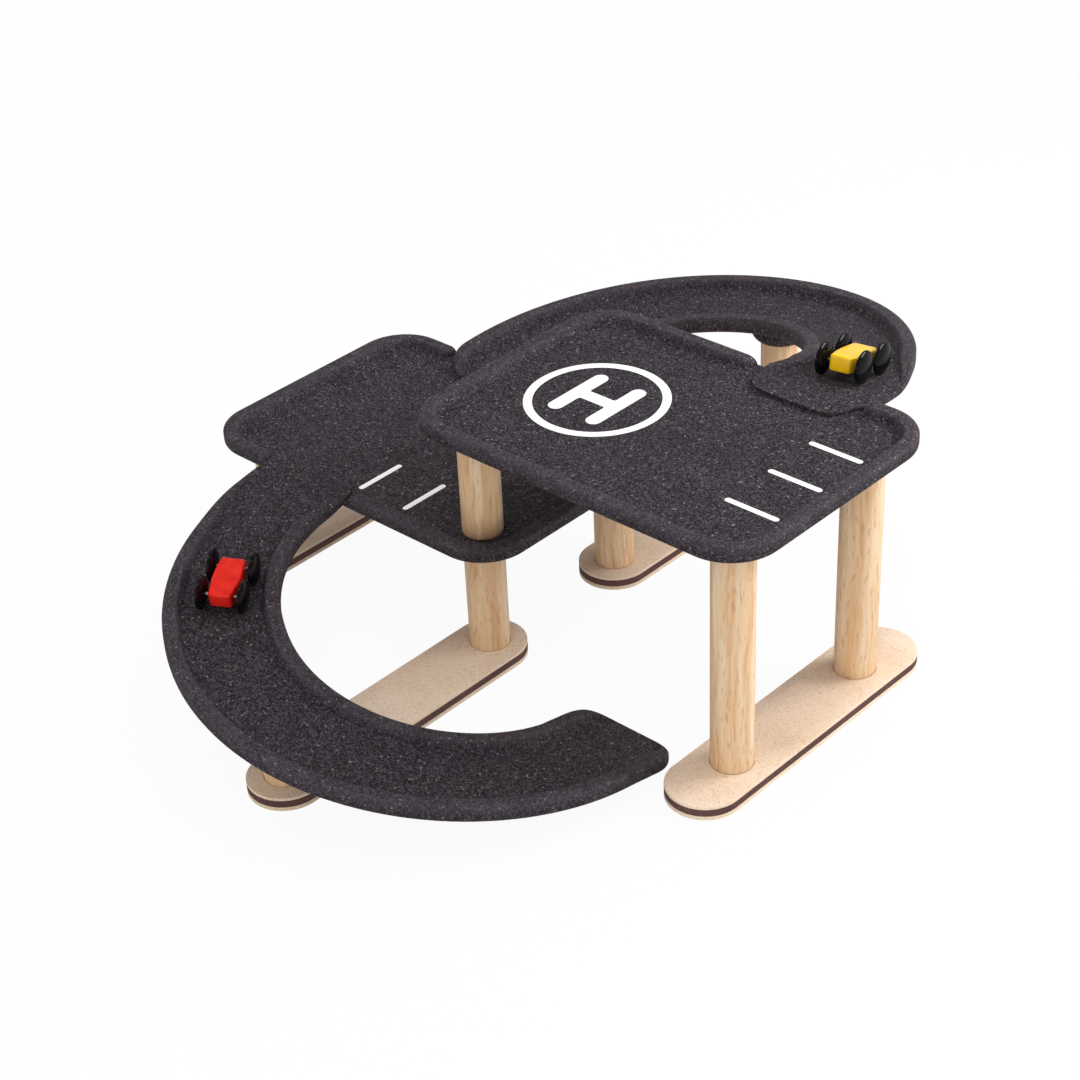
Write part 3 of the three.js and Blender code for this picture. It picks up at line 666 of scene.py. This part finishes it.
def rampPiece(name, ramp, turn, rests):
    # rests are the side, the height and the reach of what the ramp's ends lie on, and are cut out of it
    # each point carries how much wear and painted highlight its crest gets
    rows, wearAndHighlight = [], []
    for distance in rampDistances(ramp):
        inner, outer = rampEdges(ramp, distance)
        floor = rampFloor(ramp, distance)
        growths = rampGrowths(ramp, distance)
        innerRim, outerRim = (rimProfile(tray["rampRimHeight"], tray["rampRimWidth"], growth, startWidth)
                              for growth, startWidth in zip(growths, tray["rampStarts"]))
        squeeze = min(1.0, (outer - inner) / (tray["rampRimWidth"] * rampBuild["rimsAcross"]))
        section = [(outer - inset * squeeze, floor + rise, crest * growths[1])
                   for inset, rise, crest in outerRim]
        section.append(((inner + outer) / 2, floor, 0.0))
        section += [(inner + inset * squeeze, floor + rise, crest * growths[0])
                    for inset, rise, crest in reversed(innerRim)]
        row = []
        for across, height, crest in section:
            x, y = rampPlace(ramp, distance, across)
            row.append((turn * x, turn * y, height))
            wearAndHighlight.append(crest)
        rows.append(row)
    piece = meshObject(name, rows, tags={"crestWearAndHighlight": wearAndHighlight})
    # the round boss under the bend, with its top following the slope of the floor
    radius, first, _, _ = rampLine(ramp)
    postY = turn * post["rampReach"]
    angle = math.atan2(post["rampReach"] - ramp["centreY"], -ramp["centreX"])
    centreFloor = rampFloor(ramp, first + angle * radius)
    bossFoot = centreFloor - rampBuild["bossDepth"]
    bossRadius = post["radius"] + post["gap"] + rampBuild["bossWall"]
    rounding = rampBuild["bossRound"]
    profile = arcPoints(bossRadius - rounding, bossFoot + rounding, rounding, 270, 360, 10)
    rings = [ringAt(out, 0, postY, z, post["steps"]) for out, z in profile]
    rings.append([(x, y, floorUnder(ramp, turn * x, turn * y) - tray["floorThickness"] / 2)
                  for x, y, _ in ringAt(bossRadius, 0, postY, 0, post["steps"])])
    carve(piece, meshObject("boss", rings), "UNION")
    cutBore(piece, 0, postY, bossFoot - cutOverrun, centreFloor - rampBuild["socketWeb"])
    for side, height, reach in rests:
        low, high = sorted((0, side * turn * deck["farReach"]))
        corners = [(low, -reach), (high, -reach), (high, reach), (low, reach)]
        block = [[(x, y, z) for x, y in corners] for z in (height - rampBuild["restDepth"], height)]
        carve(piece, meshObject("rest", block), "DIFFERENCE")
    return piece


def openingFor(ramp, end):
    # stretch of a deck's long side left open where this end of the ramp crosses the rim, and the rims' noses
    radius, _, _, length = rampLine(ramp)
    tip = ramp["topEnd"] if end > 0 else ramp["lowEnd"]
    edges = []
    for share in rampBuild["crossingShares"]:
        fromTip = deck["halfWidth"] + rampBuild["deckGap"] - tip - share * tray["deckRimWidth"]
        edges.append(rampEdges(ramp, fromTip if end > 0 else length - fromTip))
    gaps, noses = (ramp["topGaps"], ramp["topNoses"]) if end > 0 else (ramp["lowGaps"], ramp["lowNoses"])
    inner = min(edge[0] for edge in edges) - gaps[0]
    outer = max(edge[1] for edge in edges) + gaps[1]
    return ramp["centreX"] + end * (radius + inner), ramp["centreX"] + end * (radius + outer), noses


upperOpenings = [(1, *openingFor(upperRamp, 1), upperRamp["lean"])]
upperDeck = deckPiece("upper_deck_tray", deck["upperHeight"], 1, upperOpenings, False)
placePiece(upperDeck, "garage", "Pressed charcoal composite", "pressed_composite", "upper_deck")
# the upper ramp's low end crosses this deck's other side, so its places change sign in the turned deck
nearEdge, farEdge, noses = openingFor(upperRamp, -1)
lowerOpenings = [(1, *openingFor(lowerRamp, 1), lowerRamp["lean"]), (-1, -nearEdge, -farEdge, noses, 0.0)]
lowerDeck = deckPiece("lower_deck_tray", deck["lowerHeight"], -1, lowerOpenings, True)
placePiece(lowerDeck, "garage", "Pressed charcoal composite", "pressed_composite", "lower_deck")
print("decks made")

deckSide = deck["halfWidth"] + rampBuild["deckGap"]
upperRests = [(1, deck["upperHeight"] + post["gap"], deckSide),
              (-1, deck["lowerHeight"] + post["gap"], deckSide)]
upperTray = rampPiece("upper_ramp_tray", upperRamp, 1, upperRests)
placePiece(upperTray, "upper_ramp", "Pressed charcoal composite", "pressed_composite", "upper_ramp")
lowerRests = [(1, deck["lowerHeight"] + post["gap"], deckSide), (-1, 0, post["rampReach"])]
lowerTray = rampPiece("lower_ramp_tray", lowerRamp, -1, lowerRests)
placePiece(lowerTray, "lower_ramp", "Pressed charcoal composite", "pressed_composite", "lower_ramp")
print("ramps made")


# feet and posts

foot = {
    "halfWidth": 25.7,
    "edgeRound": 0.45,
    "boards": [
        ("bottom_board", 0, 2.9, "Pale veneer board", "pale_board"),
        ("core_board", 2.95, 7.95, "Pressed dark core", "dark_core"),
        ("top_board", 8, 10.3, "Pressed natural board", "speckled_board"),
    ],
    "overhang": 27.2,
    "endSteps": 40,
}


def roundedSide(reach, rounding, low, high):
    # (reach, height) up a side with both its edges rounded a little
    near = rounding * edgeShare
    return [(reach - rounding, low), (reach - near, low + near), (reach, low + rounding),
            (reach, high - rounding), (reach - near, high - near), (reach - rounding, high)]


def boardPiece(name, x, nearY, farY, low, high, holes):
    rows = []
    for reach, z in roundedSide(foot["halfWidth"], foot["edgeRound"], low, high):
        row = []
        for centreY, start in ((farY, 0), (nearY, math.pi)):
            for step in range(foot["endSteps"] + 1):
                angle = start + math.pi * step / foot["endSteps"]
                row.append((x + reach * math.cos(angle), centreY + reach * math.sin(angle), z))
        rows.append(row)
    piece = meshObject(name, rows)
    for y in holes:
        cutBore(piece, x, y, low - cutOverrun, high + cutOverrun)
    return piece


def postPiece(name, x, y, low, high, node):
    # turned rod with its ends broken by a small round
    profile = roundedSide(post["radius"], post["chamfer"], low, high)
    piece = lathe(name, profile, x, y, post["steps"], post["smoothAngle"])
    placePiece(piece, "garage", "Turned lacquered rubberwood", "post_wood", node)


pair = post["pairHalfSpacing"]
feet = [
    ("back_long_foot", 0, pair, post["rampReach"], [pair, post["rampReach"]]),
    ("front_long_foot", 0, -post["rampReach"], -pair, [-pair, -post["rampReach"]]),
    ("right_foot", post["outerReach"], -pair - foot["overhang"], pair + foot["overhang"], [-pair, pair]),
    ("left_foot", -post["outerReach"], -pair - foot["overhang"], pair + foot["overhang"], [-pair, pair]),
]
for footName, x, nearY, farY, holes in feet:
    for boardName, low, high, materialName, slotName in foot["boards"]:
        node = f"{footName}_{boardName}"
        board = boardPiece(f"{node}_shown", x, nearY, farY, low, high, [] if low == 0 else holes)
        placePiece(board, "garage", materialName, slotName, node)

for node in [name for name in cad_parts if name.endswith("_post")]:
    low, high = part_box(node)
    x, y = (low.x + high.x) / 2 / mm, (low.y + high.y) / 2 / mm - midY
    postPiece(f"{node}_shown", x, y, low.z / mm, high.z / mm, node)
print("feet and posts made")


# white markings, screen printed on both floors

marking = {
    "inkThickness": 0.14,
    "inkDepth": 0.05,
    "ringCentre": (47, -0.2),
    "ringOuter": 48.3,
    "ringInner": 42.4,
    "ringSteps": 128,
    "ringWeld": 0.001,
    "legOffset": 16.2,
    "legHalfWidth": 5.3,
    "legReach": 27.2,
    "barHalfWidth": 5.1,
    "innerRound": 1.6,
    "lineHalfWidth": 2.1,
    "upperLines": [
        ((188, -44.4), (228.2, -44.4)),
        ((188, -2.1), (228.2, -2.1)),
        ((187.5, 39.8), (227.7, 39.8)),
    ],
    "lowerLines": [((-101.2, -81.9), (-101.2, -41.7)), ((-58.4, -81.9), (-58.4, -41.7))],
}


def inkLevels(height):
    # the ink reaches a little into the floor, so that no gap shows under it
    return height - marking["inkDepth"], height + marking["inkThickness"]


def inkPiece(name, outline, height):
    piece = meshObject(name, [[(x, y, z) for x, y in outline] for z in inkLevels(height)])
    placePiece(piece, "garage", "White screen print", "pressed_composite")


def inkLine(name, start, end, height):
    halfWidth = marking["lineHalfWidth"]
    along = Vector((end[0] - start[0], end[1] - start[1])).normalized()
    heading = math.degrees(math.atan2(along.y, along.x))
    near = (start[0] + along.x * halfWidth, start[1] + along.y * halfWidth)
    far = (end[0] - along.x * halfWidth, end[1] - along.y * halfWidth)
    outline = arcPoints(*far, halfWidth, heading - 90, heading + 90, 12)
    inkPiece(name, outline + arcPoints(*near, halfWidth, heading + 90, heading + 270, 12), height)


def letterOutline():
    # the landing sign: two round-ended legs along Y and a bar between them
    offset, half = marking["legOffset"], marking["legHalfWidth"]
    tip = marking["legReach"] - half
    bar = marking["barHalfWidth"]
    centre = marking["ringCentre"][0]
    inner = marking["innerRound"]
    nearSide, farSide = centre - offset + half + inner, centre + offset - half - inner
    outline = []
    for x, y, radius, start, end, steps in [
        (centre + offset, tip, half, 0, 180, 14),
        (farSide, bar + inner, inner, 0, -90, 5),
        (nearSide, bar + inner, inner, -90, -180, 5),
        (centre - offset, tip, half, 0, 180, 14),
        (centre - offset, -tip, half, 180, 360, 14),
        (nearSide, -bar - inner, inner, 180, 90, 5),
        (farSide, -bar - inner, inner, 90, 0, 5),
        (centre + offset, -tip, half, 180, 360, 14),
    ]:
        outline += arcPoints(x, y, radius, start, end, steps)
    return [(x, y + marking["ringCentre"][1]) for x, y in outline]


def ringPiece(name, height):
    low, high = inkLevels(height)
    inner, outer = marking["ringInner"], marking["ringOuter"]
    section = [(inner, low), (outer, low), (outer, high), (inner, high), (inner, low)]
    rows = [ringAt(radius, *marking["ringCentre"], z, marking["ringSteps"]) for radius, z in section]
    piece = meshObject(name, rows, closedCaps=False)
    # the section ends where it began, so its first and last rows are welded
    work = bmesh.new()
    work.from_mesh(piece.data)
    bmesh.ops.remove_doubles(work, verts=work.verts, dist=marking["ringWeld"] * mm)
    bmesh.ops.recalc_face_normals(work, faces=work.faces)
    work.to_mesh(piece.data)
    work.free()
    smoothed(piece.data, smoothAngle)
    placePiece(piece, "garage", "White screen print", "pressed_composite")


ringPiece("landing_ring", deck["upperHeight"])
inkPiece("landing_sign", letterOutline(), deck["upperHeight"])
for number, (start, end) in enumerate(marking["upperLines"], 1):
    inkLine(f"upper_parking_line_{number}", start, end, deck["upperHeight"])
for number, (start, end) in enumerate(marking["lowerLines"], 1):
    inkLine(f"lower_parking_line_{number}", start, end, deck["lowerHeight"])
print("markings printed")


# cars, built in their own frame with +X forwards and the axles on z = 0, then set on the CAD axles

car = {
    "wheelRadius": 11.3,
    "wheelThickness": 6.4,
    "rimHalfWidth": 0.5,
    "domeShares": (0.12, 0.3, 0.5, 0.65, 0.78, 0.88, 0.945, 0.985),  # of the wheel's radius
    "domePower": 0.65,
    "hubRadius": 0.01,
    "boreDepth": 3.4,
    "borePlay": 0.15,
    "boreMouth": (0.2, 0.15),  # how much wider, and how deep
    "wheelSteps": 56,
    "wheelSmoothAngle": 40,
    "track": 28.7,
    "base": 26.2,
    "axleRadius": 1.3,
    "axlePlay": 0.3,
    "axleChamfer": 0.3,
    "axleSteps": 32,
    "blockBoreReach": 12,
    "length": 36,
    "noseWidth": 15.8,
    "waistWidth": 19.2,
    "tailWidth": 17.8,
    "height": 11.2,
    "axleRise": 5.5,
    "noseLead": 1.4,  # how far the block's middle is ahead of the axles' middle
    "cornerRadius": 3,
    "edgeRound": 1.7,
}


def quadratic(start, control, end, steps):
    points = []
    for step in range(1, steps + 1):
        t = step / steps
        weights = ((1 - t) ** 2, 2 * t * (1 - t), t * t)
        points.append(tuple(weights[0] * a + weights[1] * b + weights[2] * c
                            for a, b, c in zip(start, control, end)))
    return points


def carOutline():
    # plan of the block at full width: rounded ends, sides bowed out to the waist
    half = car["length"] / 2
    nose, waist, tail = car["noseWidth"] / 2, car["waistWidth"] / 2, car["tailWidth"] / 2
    corner = car["cornerRadius"]
    bow = waist * 2 - (nose + tail) / 2
    outline = [(half, -nose + corner), (half, 0), (half, nose - corner)]
    outline += quadratic(outline[-1], (half, nose), (half - corner, nose), 8)
    outline += quadratic(outline[-1], (0, bow), (-half + corner, tail), 16)
    outline += quadratic(outline[-1], (-half, tail), (-half, tail - corner), 8)
    outline += [(-half, 0), (-half, -tail + corner)]
    outline += quadratic(outline[-1], (-half, -tail), (-half + corner, -tail), 8)
    outline += quadratic(outline[-1], (0, -bow), (half - corner, -nose), 16)
    outline += quadratic(outline[-1], (half, -nose), (half, -nose + corner), 8)[:-1]
    return outline


def insetOutline(outline, inset):
    points = []
    count = len(outline)
    for index, (x, y) in enumerate(outline):
        before, after = outline[index - 1], outline[(index + 1) % count]
        tangent = Vector((after[0] - before[0], after[1] - before[1])).normalized()
        points.append((x - tangent.y * inset, y + tangent.x * inset))
    return points


def localPiece(name, rows, place, body, materialName, slotName, node, sharpAngle=smoothAngle, cutters=()):
    piece = meshObject(name, rows, sharpAngle=sharpAngle)
    for cutter in cutters:
        carve(piece, cutter, "DIFFERENCE", sharpAngle)
    piece.data.transform(Matrix.Translation((0, -midY * mm, 0)))
    piece.data.transform(place)
    placePiece(piece, body, materialName, slotName, node)


def alongY(profile, x, middle, steps):
    # turned on a line parallel to Y; profile is (radius, distance along Y)
    angles = [2 * math.pi * step / steps for step in range(steps)]
    return [[(x + radius * math.cos(angle), middle + along, radius * math.sin(angle)) for angle in angles]
            for radius, along in profile]


def bodyRows():
    rounding = car["edgeRound"]
    low, high = -car["axleRise"], car["height"] - car["axleRise"]
    profile = [(rounding - a, b) for a, b in arcPoints(0, low + rounding, rounding, 270, 360, 6)]
    profile += [(rounding - a, b) for a, b in arcPoints(0, high - rounding, rounding, 0, 90, 6)]
    outline = carOutline()
    return [[(x + car["noseLead"], y, z) for x, y in insetOutline(outline, inset)] for inset, z in profile]


def wheelRows(end, side):
    # lens: two domed faces meeting in a narrow round rim, with a blind bore for the axle inside
    radius, half, rim = car["wheelRadius"], car["wheelThickness"] / 2, car["rimHalfWidth"]
    bore, hub, depth = car["axleRadius"] + car["borePlay"], car["hubRadius"], car["boreDepth"]
    mouthOut, mouthIn = car["boreMouth"]
    dome = [(radius * share, rim + (half - rim) * (1 - share * share) ** car["domePower"])
            for share in car["domeShares"]]
    rimAngles = [math.radians(degrees) for degrees in (-60, -30, 0, 30, 60)]
    profile = [(hub, -half + depth), (bore, -half + depth), (bore, -half + mouthIn), (bore + mouthOut, -half)]
    profile += [(out, -thick) for out, thick in dome[1:]]
    profile += [(radius - rim + rim * math.cos(angle), rim * math.sin(angle)) for angle in rimAngles]
    profile += [(out, thick) for out, thick in reversed(dome)]
    profile.append((hub, half))
    turned = [(out, side * along) for out, along in profile]
    return alongY(turned, end * car["base"] / 2, side * car["track"] / 2, car["wheelSteps"])


def pinRows(end):
    radius, chamfer = car["axleRadius"], car["axleChamfer"]
    half = car["track"] / 2 - car["wheelThickness"] / 2 + car["boreDepth"] - car["axlePlay"]
    profile = [(radius - chamfer, -half), (radius, -half + chamfer),
               (radius, half - chamfer), (radius - chamfer, half)]
    return alongY(profile, end * car["base"] / 2, 0, car["axleSteps"])


def blockBore(end):
    radius, reach = car["axleRadius"] + car["axlePlay"], car["blockBoreReach"]
    rows = alongY([(radius, -reach), (radius, reach)], end * car["base"] / 2, 0, car["axleSteps"])
    return meshObject("bore", rows)


def carPlace(colour):
    # from the car's own frame to where its axles and wheels lie in the CAD
    centres = {}
    for end in ("front", "rear"):
        low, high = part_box(f"{colour}_car_{end}_axle")
        centres[end] = (low + high) / 2
        for hand in ("left", "right"):
            low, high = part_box(f"{colour}_car_{end}_{hand}_wheel")
            centres[end, hand] = (low + high) / 2
    forward = (centres["front"] - centres["rear"]).normalized()
    leftward = (centres["front", "left"] - centres["front", "right"]
                + centres["rear", "left"] - centres["rear", "right"])
    upward = forward.cross(leftward).normalized()
    leftward = upward.cross(forward)
    middle = (centres["front"] + centres["rear"]) / 2
    return Matrix.Translation(middle) @ Matrix((forward, leftward, upward)).transposed().to_4x4()


def carPieces(colour, paintName, paintSlot):
    body = f"{colour}_car"
    place = carPlace(colour)
    bores = [blockBore(end) for end in (1, -1)]
    localPiece(f"{body}_block", bodyRows(), place, body, paintName, paintSlot, f"{body}_body", cutters=bores)
    for endName, end in (("front", 1), ("rear", -1)):
        wheelBody = f"{body}_{endName}_wheels"
        localPiece(f"{body}_{endName}_pin", pinRows(end), place, wheelBody, "Polished steel pin",
                   "polished_steel", f"{body}_{endName}_axle")
        for hand, side in (("left", 1), ("right", -1)):
            node = f"{body}_{endName}_{hand}_wheel"
            localPiece(f"{node}_shown", wheelRows(end, side), place, wheelBody, "Black lacquer",
                       "black_wheel", node, car["wheelSmoothAngle"])


carPieces("yellow", "Yellow lacquer", "yellow_paint")
carPieces("red", "Red lacquer", "red_paint")
print("cars made")


# floor, light and camera

stageLook = {
    "floorColour": "#f2f2f2",
    "floorRoughness": 0.9,
    "floorSize": 6.0,
    "floorWhite": 0.94,  # share of plain white that the camera sees in the floor
    "worldLevel": 0.76,
    "worldRise": 0.2,  # added towards the ceiling
    "worldTilt": 0.084,  # added along X and along Y, towards the side lamp
    "floorGloss": 0.45,  # what glossy surfaces see in the floor, low round the toy, and overhead
    "backdropGloss": 0.45,
    "ceilingGloss": 0.2,
    "ceilingStart": (0.2, 0.7),
    # place and size in metres, power in watts; all point at the aim
    "lamps": [
        ("overhead_softbox", (0.1, -0.2, 1.9), 0.7, 3.5),
        ("side_softbox", (0.58, 0.62, 0.6), 0.45, 5.5),
        ("front_softbox", (0.6, -1.3, 0.45), 0.9, 1.5),
    ],
    "lampAim": (0, 0, 0.1),
}


def paperSweep(name):
    # pale paper sweep: shows white to the camera and keeps a soft shadow
    look = stageLook
    tree, shader = newMaterial(name)
    shader.inputs["Base Color"].default_value = linearColour(look["floorColour"])
    shader.inputs["Roughness"].default_value = look["floorRoughness"]
    rays = addNode(tree, "ShaderNodeLightPath").outputs
    either = mathNode(tree, "MAXIMUM", rays["Is Camera Ray"], rays["Is Glossy Ray"])
    level = mapRange(tree, rays["Is Camera Ray"], look["floorGloss"], 1.0)
    glow = addNode(tree, "ShaderNodeEmission", {}, {"Color": (1, 1, 1, 1), "Strength": level})
    share = mathNode(tree, "MULTIPLY", either, look["floorWhite"])
    mixed = addNode(tree, "ShaderNodeMixShader", {}, {0: share, 1: shader.outputs[0], 2: glow.outputs[0]})
    tree.links.new(mixed.outputs[0], tree.nodes["Material Output"].inputs["Surface"])


def makeFloor():
    size = stageLook["floorSize"]
    mesh = bpy.data.meshes.new("studio_floor")
    corners = [(-size, -size, 0), (size, -size, 0), (size, size, 0), (-size, size, 0)]
    mesh.from_pydata(corners, [], [(0, 1, 2, 3)])
    floor = bpy.data.objects.new("studio_floor", mesh)
    bpy.context.scene.collection.objects.link(floor)
    paperSweep("Pale paper sweep")
    mesh.materials.append(bpy.data.materials["Pale paper sweep"])


def makeWorld():
    # white studio: plain white to the camera, soft fill from above and from the side lamp's side on the toy,
    # and in reflections a pale backdrop under a dim ceiling
    look = stageLook
    world = bpy.data.worlds.new("White studio")
    bpy.context.scene.world = world
    world.use_nodes = True
    tree = world.node_tree
    rays = addNode(tree, "ShaderNodeLightPath").outputs
    heading = addNode(tree, "ShaderNodeTexCoord").outputs["Generated"]
    up = addNode(tree, "ShaderNodeSeparateXYZ", {}, {"Vector": heading}).outputs["Z"]
    gloss = mapRange(tree, up, look["backdropGloss"], look["ceilingGloss"], *look["ceilingStart"])
    slope = (look["worldTilt"], look["worldTilt"], look["worldRise"])
    fill = mathNode(tree, "ADD", vectorNode(tree, "DOT_PRODUCT", heading, slope)["Value"], look["worldLevel"])
    shine = addNode(tree, "ShaderNodeMix", {}, {0: rays["Is Glossy Ray"], 2: fill, 3: gloss}).outputs[0]
    strength = addNode(tree, "ShaderNodeMix", {}, {0: rays["Is Camera Ray"], 2: shine, 3: 1.0}).outputs[0]
    background = tree.nodes["Background"]
    background.inputs["Color"].default_value = (1, 1, 1, 1)
    tree.links.new(strength, background.inputs["Strength"])


def softLamp(name, place, size, power):
    lamp = bpy.data.lights.new(name, "AREA")
    lamp.shape = "SQUARE"
    lamp.size = size
    lamp.energy = power
    holder = bpy.data.objects.new(name, lamp)
    bpy.context.scene.collection.objects.link(holder)
    holder.location = place
    towards = Vector(stageLook["lampAim"]) - Vector(place)
    holder.rotation_euler = towards.to_track_quat("-Z", "Y").to_euler()


cameraLook = {
    "turn": 46.201,  # degrees
    "rise": 34.380,
    "roll": -4.102,
    "aim": (-0.04886, -0.04108),  # metres, on the ground
    "distance": 1.64348,
    "lens": 77.26,
    "sensorWidth": 36,
    "shift": (0.0701, 0.0657),
}


def makeCamera():
    # the photograph's own viewing angle, with its slight roll, and shift for its off-centre framing
    look = cameraLook
    turn, rise, roll = (math.radians(look[name]) for name in ("turn", "rise", "roll"))
    back = Vector((math.sin(turn) * math.cos(rise), -math.cos(turn) * math.cos(rise), math.sin(rise)))
    level = Vector((math.cos(turn), math.sin(turn), 0))
    upright = back.cross(level)
    right = math.cos(roll) * level + math.sin(roll) * upright
    up = -math.sin(roll) * level + math.cos(roll) * upright
    camera = bpy.data.cameras.new("camera")
    camera.lens = look["lens"]
    camera.sensor_width = look["sensorWidth"]
    camera.shift_x, camera.shift_y = look["shift"]
    holder = bpy.data.objects.new("camera", camera)
    bpy.context.scene.collection.objects.link(holder)
    aimX, aimY = look["aim"]
    place = Vector((aimX, aimY + midY * mm, 0)) + back * look["distance"]
    holder.matrix_world = Matrix.Translation(place) @ Matrix((right, up, back)).transposed().to_4x4()
    bpy.context.scene.camera = holder


makeFloor()
makeWorld()
for name, place, size, power in stageLook["lamps"]:
    softLamp(name, place, size, power)
makeCamera()
bpy.context.scene.view_settings.view_transform = "Standard"
print("stage set")
